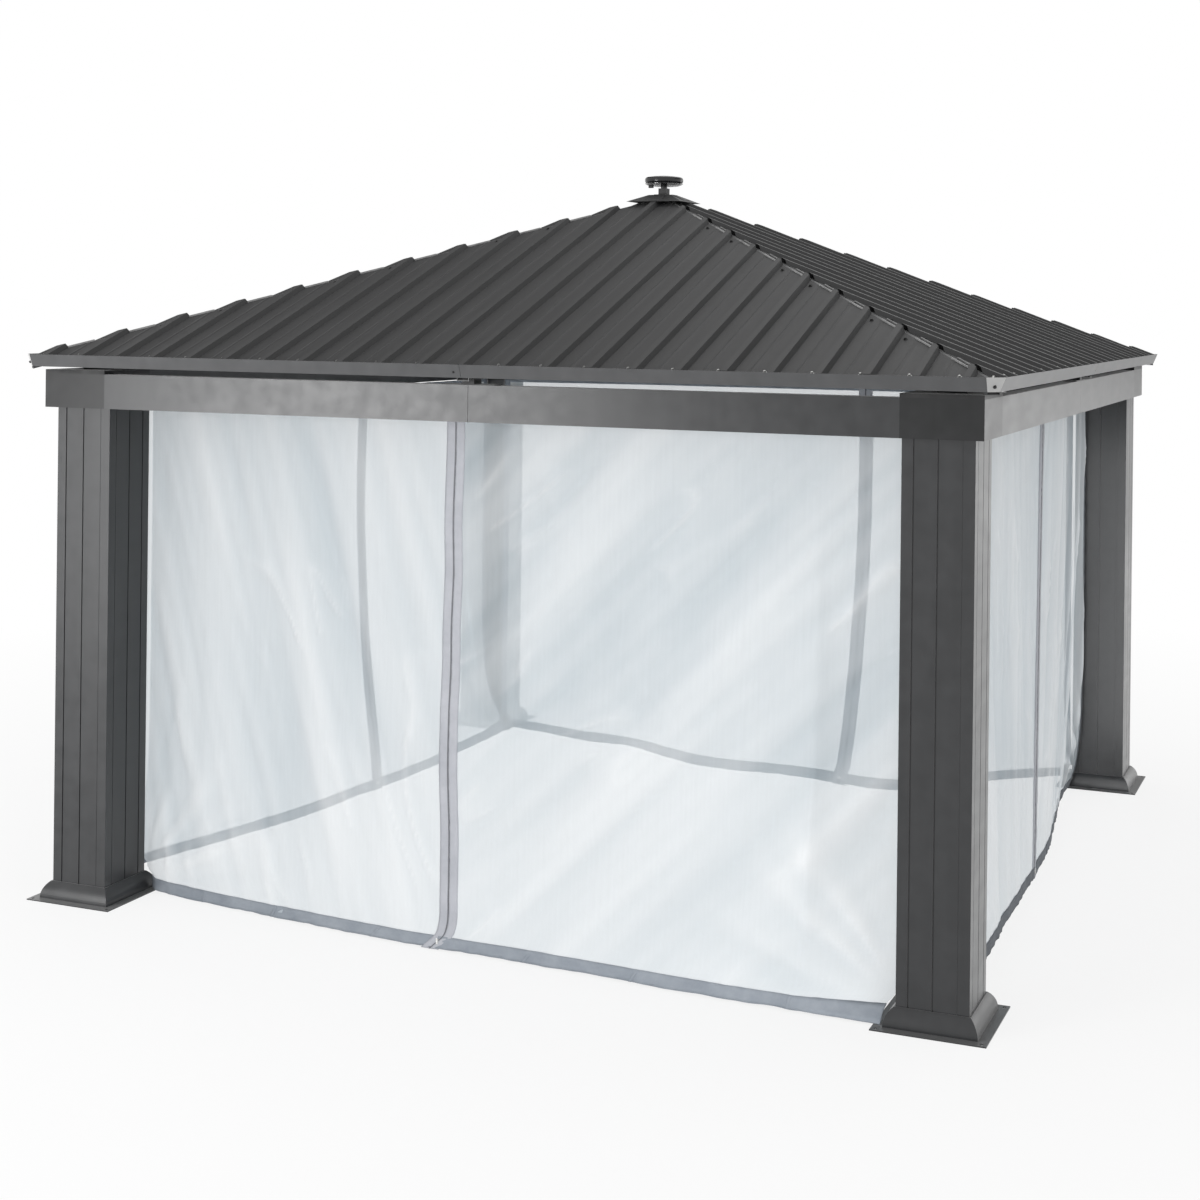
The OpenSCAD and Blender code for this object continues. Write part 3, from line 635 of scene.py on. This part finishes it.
# %% Tapes
HEM_M = 0.051
ZIP_TAPE_M = 0.038
EDGE_TAPE_M = 0.03
TOP_TAPE_M = 0.016
TAPE_WALL_M = 0.005
ZIP_PUCKER = (0.0016, 0.016)
HEM_PUCKER = (0.0036, 0.045)
TAPE_STEP_M = 0.007
TAPE_ROWS = 4
HEM_WAVE_M = 0.005
SLOW_WAVES, SLOW_SHARE = 9, 0.7
QUICK_WAVES, QUICK_SHARE = 31, 0.3
HEM_SEAM_SHARES = (0.22, 0.47, 0.81)
HEM_SEAM_M = 0.012
HEM_SEAM_LIFT_M = 0.0015
SHADED_HEM_SIDE = 1


def tape_strip(bm, place, length, width, seed, pucker=HEM_PUCKER):
    """A strip of tape: place gives a point for shares along and across it and a lift off the cloth."""
    pucker_m, pucker_along_m = pucker
    tape_map = bm.loops.layers.uv.verify()
    steps = max(2, round(length / TAPE_STEP_M))
    made = bmesh.ops.create_grid(bm, x_segments=steps, y_segments=TAPE_ROWS, size=0.5)
    for face in {face for vert in made["verts"] for face in vert.link_faces}:
        for loop in face.loops:
            loop[tape_map].uv = (loop.vert.co.x * length, loop.vert.co.y * width)
    for vert in made["verts"]:
        a, b = vert.co.x + 0.5, vert.co.y + 0.5
        wrinkle = noise.noise(Vector((a * length / pucker_along_m + 0.9 * b, 1.1 * b, seed)))
        vert.co = place(a, b, pucker_m * wrinkle)


def on_cloth(side, half, q, drop, lift):
    point = cloth_point(side, half, q, drop)[0]
    point.y -= lift
    return side_turn(side) @ point


def half_hems(side, half):
    """Hem, post edge, top band and the seams across the hem of a half net."""
    post_end = half
    inward = (1, -1)[half]
    width = (half_edges(side, half, 1)[1] - half_edges(side, half, 1)[0]) * net_foot_end

    def hem(a, b, lift):
        slow = noise.noise(Vector((SLOW_WAVES * a, 4.1 * side, 1.7 * half)))
        quick = noise.noise(Vector((QUICK_WAVES * a, 4.1 * side, 8 + 1.7 * half)))
        wave = HEM_WAVE_M * (1 + SLOW_SHARE * slow + QUICK_SHARE * quick)
        drop = 1 - ((1 - b) * HEM_M + b * wave) / NET_DROP
        return on_cloth(side, half, mix(*half_edges(side, half, drop), a), drop, lift)

    def post_edge(a, b, lift):
        q = half_edges(side, half, a)[post_end] + inward * b * EDGE_TAPE_M / net_end
        return on_cloth(side, half, q, a, lift)

    def top_band(a, b, lift):
        drop = b * TOP_TAPE_M / NET_DROP
        return on_cloth(side, half, mix(*half_edges(side, half, drop), a), drop, lift)

    def seam(share):
        return lambda a, b, lift: hem(share + (b - 0.5) * HEM_SEAM_M / width, a, HEM_SEAM_LIFT_M)

    seed = 5.0 * side + 2.3 * half
    bm = bmesh.new()
    tape_strip(bm, hem, width, HEM_M, seed)
    if (side, half) in TAPED_ENDS:
        tape_strip(bm, post_edge, NET_DROP, EDGE_TAPE_M, seed + 9)
    tape_strip(bm, top_band, width, TOP_TAPE_M, seed + 18)
    for share in HEM_SEAM_SHARES:
        tape_strip(bm, seam(share), HEM_M, HEM_SEAM_M, seed + 27)
    name = f"net_{SIDES[side]}_{HALVES[half]}_hem"
    # The right net's hem gets the darker copy, which is painted shade.
    cloth = shaded_hem_cloth if side == SHADED_HEM_SIDE else hem_cloth
    return smooth(add_piece(name, bm, cloth, TAPE_WALL_M))


def half_zip_tape(side, half):
    outward = (-1, 1)[half]

    def zip_edge(a, b, lift):
        return on_cloth(side, half, zip_place(side, a) + outward * b * ZIP_TAPE_M / net_end, a, lift)

    bm = bmesh.new()
    tape_strip(bm, zip_edge, NET_DROP, ZIP_TAPE_M, 40 + 5.0 * side + 2.3 * half, ZIP_PUCKER)
    name = f"net_{SIDES[side]}_{HALVES[half]}_zip_tape"
    return smooth(add_piece(name, bm, lit_zip_tape_cloth, TAPE_WALL_M))


net_pieces = []
for (side, half), cloth_piece in net_halves.items():
    tapes = [half_hems(side, half), half_zip_tape(side, half)]
    net_pieces += [cloth_piece, *tapes]
    cut_size(side, half)
print("tapes on", len(net_halves), "half nets")

# %% [markdown]
# ## Zips
# The closed teeth are a dark line a little thicker than the two tapes they join. At the foot hangs the slider, a
# small metal body with a pull tab.

# %% Zip teeth and sliders
TEETH_M = 0.005
TEETH_WALL_M = 0.008
SLIDER_DROP = 0.985
SLIDER_M = (0.010, 0.012, 0.014)
SLIDER_ROUND_M = 0.002
PULL_M = (0.007, 0.002, 0.022)
PULL_ROUND_M = 0.0006
PULL_UP_M = 0.006


def zip_teeth(side):
    bm = bmesh.new()

    def middle(a, b, lift):
        return on_cloth(side, 0, zip_place(side, a) + (b - 0.5) * TEETH_M / net_end, a, 0)

    tape_strip(bm, middle, NET_DROP, TEETH_M, 0)
    return smooth(add_piece(f"zip_teeth_{SIDES[side]}", bm, zip_grey, TEETH_WALL_M))


def rounded_block(bm, size, place, round_m):
    """A block with rounded edges, moved by a matrix."""
    made = bmesh.ops.create_cube(bm, size=1, matrix=place @ Matrix.Diagonal((*size, 1)))
    edges = list({edge for vert in made["verts"] for edge in vert.link_edges})
    bmesh.ops.bevel(bm, geom=edges, offset=round_m, segments=2, profile=0.5, affect="EDGES", material=-1)


zip_sliders = bmesh.new()
for side in range(4):
    zip_teeth(side)
    at = net_point(side, zip_place(side, SLIDER_DROP), SLIDER_DROP)
    rounded_block(zip_sliders, SLIDER_M, side_turn(side) @ Matrix.Translation(at), SLIDER_ROUND_M)
    pull_at = at + Vector((0, -SLIDER_M[1] / 2 - PULL_M[1] / 2, (SLIDER_M[2] - PULL_M[2]) / 2 + PULL_UP_M))
    rounded_block(zip_sliders, PULL_M, side_turn(side) @ Matrix.Translation(pull_at), PULL_ROUND_M)
add_piece("zip_sliders", zip_sliders, zinc)
print("zips on", len(SIDES), "sides")

# %% [markdown]
# ## Roof screws
# Self-drilling screws with a washer hold each sheet down behind the eave trim, one beside the foot of every rib. They
# are plated with zinc, so they show as bright dots along the eaves. Black ones hold the corners of the sheets along
# the hips, the trim halves beside their joint and the corner clips.

# %% Screws
ROOF_PITCH = math.radians(20.5)
RIB_PITCH_M = 0.171
RIB_FOOT_M = 0.042
RIBS = 11
TRIM_H_M = 0.049
TRIM_LEAN_M = 0.021
TRIM_UPSTAND_M = 0.024
SHEET_M = 0.0012
HIP_REACH_M = 0.0127
CORNER_CUT_M = 0.056
WASHER_SIDES, HEAD_SIDES = 14, 6
HEAD_TOP_SHARE = 0.42
EAVE_SCREW = (0.011, 0.016, 0.006)
SCREW_BESIDE_M = 0.012
SCREW_BEHIND_M = 0.052
HIP_SCREW = (0.011, 0.017, 0.006)
HIP_SCREW_BESIDE_M = 0.02
HIP_SCREW_BEHIND_M = 0.045
HIP_SCREW_GROUP = 3
eave_out = -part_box("eave_trim_front")[0].y
trim_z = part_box("eave_trim_front")[0].z


def roof_place(side, x, out):
    """A matrix at a place on a slope's pan, its z axis square to the sheet."""
    lift = TRIM_H_M - TRIM_UPSTAND_M + (eave_out - out) * math.tan(ROOF_PITCH) + SHEET_M / math.cos(ROOF_PITCH)
    place = Matrix.Translation((x, -out, trim_z + lift))
    return side_turn(side) @ place @ Matrix.Rotation(ROOF_PITCH, 4, "X")


def add_screw(bm, place, head_m, washer_m, tall_m):
    """A six-sided head on a round washer, standing on the matrix's xy plane."""
    thin = tall_m / 4
    bmesh.ops.create_cone(
        bm, cap_ends=True, segments=WASHER_SIDES, radius1=washer_m / 2, radius2=washer_m / 2, depth=thin,
        matrix=place @ Matrix.Translation((0, 0, thin / 2)),
    )
    bmesh.ops.create_cone(
        bm, cap_ends=True, segments=HEAD_SIDES, radius1=head_m / 2, radius2=HEAD_TOP_SHARE * head_m, depth=tall_m,
        matrix=place @ Matrix.Translation((0, 0, thin + tall_m / 2)),
    )


eave_screws = bmesh.new()
black_screws = bmesh.new()
for side in range(4):
    for rib in range(-RIBS, RIBS + 1):
        if rib == 0:
            continue
        beside = rib * RIB_PITCH_M - RIB_FOOT_M / 2 - SCREW_BESIDE_M
        add_screw(eave_screws, roof_place(side, beside, eave_out - SCREW_BEHIND_M), *EAVE_SCREW)
    for pan in range(RIBS):
        if pan % HIP_SCREW_GROUP == 1:
            continue
        near = pan * RIB_PITCH_M + RIB_FOOT_M / 2 + HIP_SCREW_BESIDE_M
        for hand in (-1, 1):
            place = roof_place(side, hand * near, near + HIP_REACH_M + HIP_SCREW_BEHIND_M)
            add_screw(black_screws, place, *HIP_SCREW)
add_piece("eave_screws", eave_screws, zinc)
print("eave screws:", 4 * 2 * RIBS)

# %% Screws on the trims and corner clips
lean = math.atan2(TRIM_LEAN_M, TRIM_H_M)
outward = Matrix.Rotation(QUARTER + lean, 4, "X")
TRIM_SCREW = (0.008, 0.010, 0.003)
CLIP_SCREW = (0.010, 0.013, 0.005)
TRIM_SCREW_X_M = -0.028
TRIM_SCREW_SHARE = 0.42
CLIP_SCREW_SHARE = 0.36
trim_screw_out = eave_out - TRIM_LEAN_M * (1 - TRIM_SCREW_SHARE)
clip_out = (2 * eave_out - CORNER_CUT_M - TRIM_LEAN_M * (1 - CLIP_SCREW_SHARE)) / math.sqrt(2)
for side in (0, 2):
    place = Matrix.Translation((TRIM_SCREW_X_M, -trim_screw_out, trim_z + TRIM_SCREW_SHARE * TRIM_H_M))
    add_screw(black_screws, side_turn(side) @ place @ outward, *TRIM_SCREW)
for corner in range(4):
    place = Matrix.Translation((0, -clip_out, trim_z + CLIP_SCREW_SHARE * TRIM_H_M))
    add_screw(black_screws, side_turn(corner + 0.5) @ place @ outward, *CLIP_SCREW)
add_piece("black_screws", black_screws, screw_black)
print("black screws done")

# %% [markdown]
# ## Folded edges along the hips
# Each pan is cut slantwise where two slopes meet, and part of the cut edge is folded up as a small lip that keeps
# rain out. The bare fold catches the light. A thin block along the hip line does for each.

# %% Hip lips
LIP_SHARES = (0.42, 1.0)
LIP_H_M = 0.007
LIP_WALL_M = 0.004
LIP_ROUND_M = 0.001
HIP_MARGIN_M = 0.004

hip_lips = bmesh.new()
for side in range(4):
    for pan in range(1, RIBS):
        low = pan * RIB_PITCH_M + RIB_FOOT_M / 2
        wide = RIB_PITCH_M - RIB_FOOT_M
        for hand in (-1, 1):
            ends = []
            for share in LIP_SHARES:
                x = low + share * wide
                ends.append(roof_place(side, hand * x, x + HIP_REACH_M + HIP_MARGIN_M).translation)
            along = (ends[1] - ends[0]).normalized()
            across = Vector((0, 0, 1)).cross(along).normalized()
            up = along.cross(across)
            middle = (ends[0] + ends[1]) / 2 + up * LIP_H_M / 2
            axes = Matrix((along, across, up)).transposed().to_4x4()
            size = ((ends[1] - ends[0]).length, LIP_WALL_M, LIP_H_M)
            rounded_block(hip_lips, size, Matrix.Translation(middle) @ axes, LIP_ROUND_M)
add_piece("hip_lips", hip_lips, bare_edge)
print("hip lips:", 4 * 2 * (RIBS - 1))

# %% [markdown]
# ## The bowl under the finial
# A clear bowl closes the disc from below, round its neck, and a small switch sticks out beside it. The bowl is a
# profile spun once round the upright axis and given a wall.

# %% Finial bowl
NECK_H_M = 0.022
BOWL_PROFILE = ((0.0165, -0.011), (0.045, -0.0125), (0.068, -0.010), (0.080, -0.006), (0.0885, 0.0))
BOWL_WALL_M = 0.0016
BOWL_STEPS = 64
disc_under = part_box("finial_disc")[0].z + NECK_H_M

bowl = bmesh.new()
rim = [bowl.verts.new((r, 0, disc_under + z)) for r, z in BOWL_PROFILE]
chain = [bowl.edges.new(pair) for pair in zip(rim, rim[1:])]
bmesh.ops.spin(
    bowl, geom=rim + chain, cent=(0, 0, 0), axis=(0, 0, 1), angle=math.tau, steps=BOWL_STEPS, use_merge=True,
)
bmesh.ops.recalc_face_normals(bowl, faces=bowl.faces)
smooth(add_piece("finial_bowl", bowl, clear_bowl, BOWL_WALL_M))

SWITCH_M = (0.022, 0.014, 0.016)
SWITCH_PLACE = (-0.056, -0.022)
SWITCH_UNDER_M = 0.012
SWITCH_ROUND_M = 0.002
switch = bmesh.new()
switch_at = Vector((*SWITCH_PLACE, disc_under - SWITCH_UNDER_M))
rounded_block(switch, SWITCH_M, Matrix.Translation(switch_at), SWITCH_ROUND_M)
add_piece("finial_switch", switch, screw_black)
print("bowl faces done, underside at", round(disc_under, 3))

# %% [markdown]
# ## Floor and light
# A photographer would stand the gazebo on white paper in a white studio, with one large soft lamp in front on the
# left, whose reflection makes the pale patch on the front beam, and one behind on the right, which glances off the
# right faces. The nets have a front lamp of their own, so that they are lit evenly from end to end, and a small one
# under the roof opens up the back right post. Black flags hang out of sight overhead and behind: the metal mirrors
# them, which keeps parts of it dark. Under the gazebo the paper is plain, so that it keeps the shadow; further out it
# fades into the white of the studio for the eye and for reflections alone.

# %% Floor
FLOOR_R = 60
FLOOR_SIDES = 64
PAPER_WHITE = (0.93, 0.93, 0.93, 1)
FADE_M = (2.5, 7.0)
NEAR_WHITE = 0.8


def stage_piece(name, bm, finish):
    piece = object_from(name, bm, finish)
    return piece


paper = Finish("white_paper")
distance = paper.add("VectorMath", {0: paper.place.outputs["Object"]}, operation="LENGTH").outputs["Value"]
fade = paper.join(paper.span(distance, NEAR_WHITE, 1.0, *FADE_M), paper.seen(), "MULTIPLY")
plain = paper.add("BsdfDiffuse", {"Color": PAPER_WHITE})
white = paper.add("Emission", {"Color": (1, 1, 1, 1), "Strength": 1.0})
floor_bm = bmesh.new()
bmesh.ops.create_circle(floor_bm, cap_ends=True, segments=FLOOR_SIDES, radius=FLOOR_R)
stage_piece("floor", floor_bm, paper.surface(paper.blend(fade, plain, white)))
print("floor radius", FLOOR_R)

# %% Lamps and flags
def soft_lamp(name, place, target, size, power):
    lamp = bpy.data.lights.new(name, "AREA")
    lamp.shape = "RECTANGLE"
    lamp.size, lamp.size_y = size
    lamp.energy = power
    holder = bpy.data.objects.new(name, lamp)
    holder.location = place
    holder.rotation_euler = (Vector(target) - Vector(place)).to_track_quat("-Z", "Y").to_euler()
    holder.visible_camera = False
    bpy.context.scene.collection.objects.link(holder)
    return holder


def light_only(lamp, pieces, state="INCLUDE"):
    """Let a lamp light some pieces alone, or leave them out."""
    lit = bpy.data.collections.new(lamp.name + "_pieces")
    for piece in pieces:
        lit.objects.link(piece)
    for member in lit.collection_objects:
        member.light_linking.link_state = state
    lamp.light_linking.receiver_collection = lit


key = soft_lamp("key", place=(-3.7, -7.3, 1.6), target=(-0.6, -1.9, 1.5), size=(2.8, 3.0), power=245)
net_light = soft_lamp("net_light", place=(2.2, -7.8, 1.7), target=(0.2, -1.9, 1.2), size=(2.8, 3.0), power=225)
soft_lamp("right_strip", place=(6.4, 11.0, 1.8), target=(1.9, 0.0, 1.5), size=(4.0, 4.5), power=60)
back_fill = soft_lamp("back_fill", place=(1.66, 0.7, 0.87), target=(1.76, 1.64, 0.85), size=(0.6, 1.7), power=11)
back_right_post = [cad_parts[part + "_back_right"] for part in ("post", "foot_cover")]
light_only(key, net_pieces, "EXCLUDE")
light_only(net_light, net_pieces)
light_only(back_fill, back_right_post)

FLAGS = {
    "left_flag": ((-11, 1, 8.5), (-2.8, 16, 8.5)),
    "right_flag": ((6, 1, 8.5), (14, 14, 8.5)),
    "back_flag": ((0, 12, 0), (4.0, 12, 3)),
}
flag_cloth = plain_finish("black_flag", (0.01, 0.01, 0.01), (0.02, 0.02, 0.02), (0.8, 0.9), 5, 0.001)
for name, (low, high) in FLAGS.items():
    middle, size = (Vector(low) + Vector(high)) / 2, Vector(high) - Vector(low)
    flat = Matrix.Rotation(QUARTER, 4, "X") if size.y == 0 else Matrix()
    spread = Matrix.Diagonal((size.x, size.y or size.z, 1, 1))
    flag_bm = bmesh.new()
    place = Matrix.Translation(middle) @ flat @ spread
    bmesh.ops.create_grid(flag_bm, x_segments=1, y_segments=1, size=0.5, matrix=place)
    flag = stage_piece(name, flag_bm, flag_cloth)
    flag.visible_camera = False
    flag.visible_diffuse = False
    flag.visible_transmission = False
    flag.visible_shadow = False
print("lamps and flags ready")

# %% World
LIGHT_LEFT, LIGHT_RIGHT = 0.7, 0.85
studio = Finish("studio", world=True)
direction = studio.add("SeparateXYZ", {"Vector": studio.place.outputs["Generated"]}).outputs["X"]
soft = studio.span(direction, LIGHT_LEFT, LIGHT_RIGHT, -1.0, 1.0)
seen = studio.seen()
strength = studio.add("Mix", data_type="FLOAT")
studio.feed(strength.inputs["Factor"], seen)
studio.feed(strength.inputs["A"], soft)
studio.feed(strength.inputs["B"], 1.0)
walls = studio.add("Background", {"Color": (1, 1, 1, 1), "Strength": strength.outputs["Result"]})
bpy.context.scene.world = studio.surface(walls)
bpy.context.scene.view_settings.view_transform = "Standard"
print("world ready")
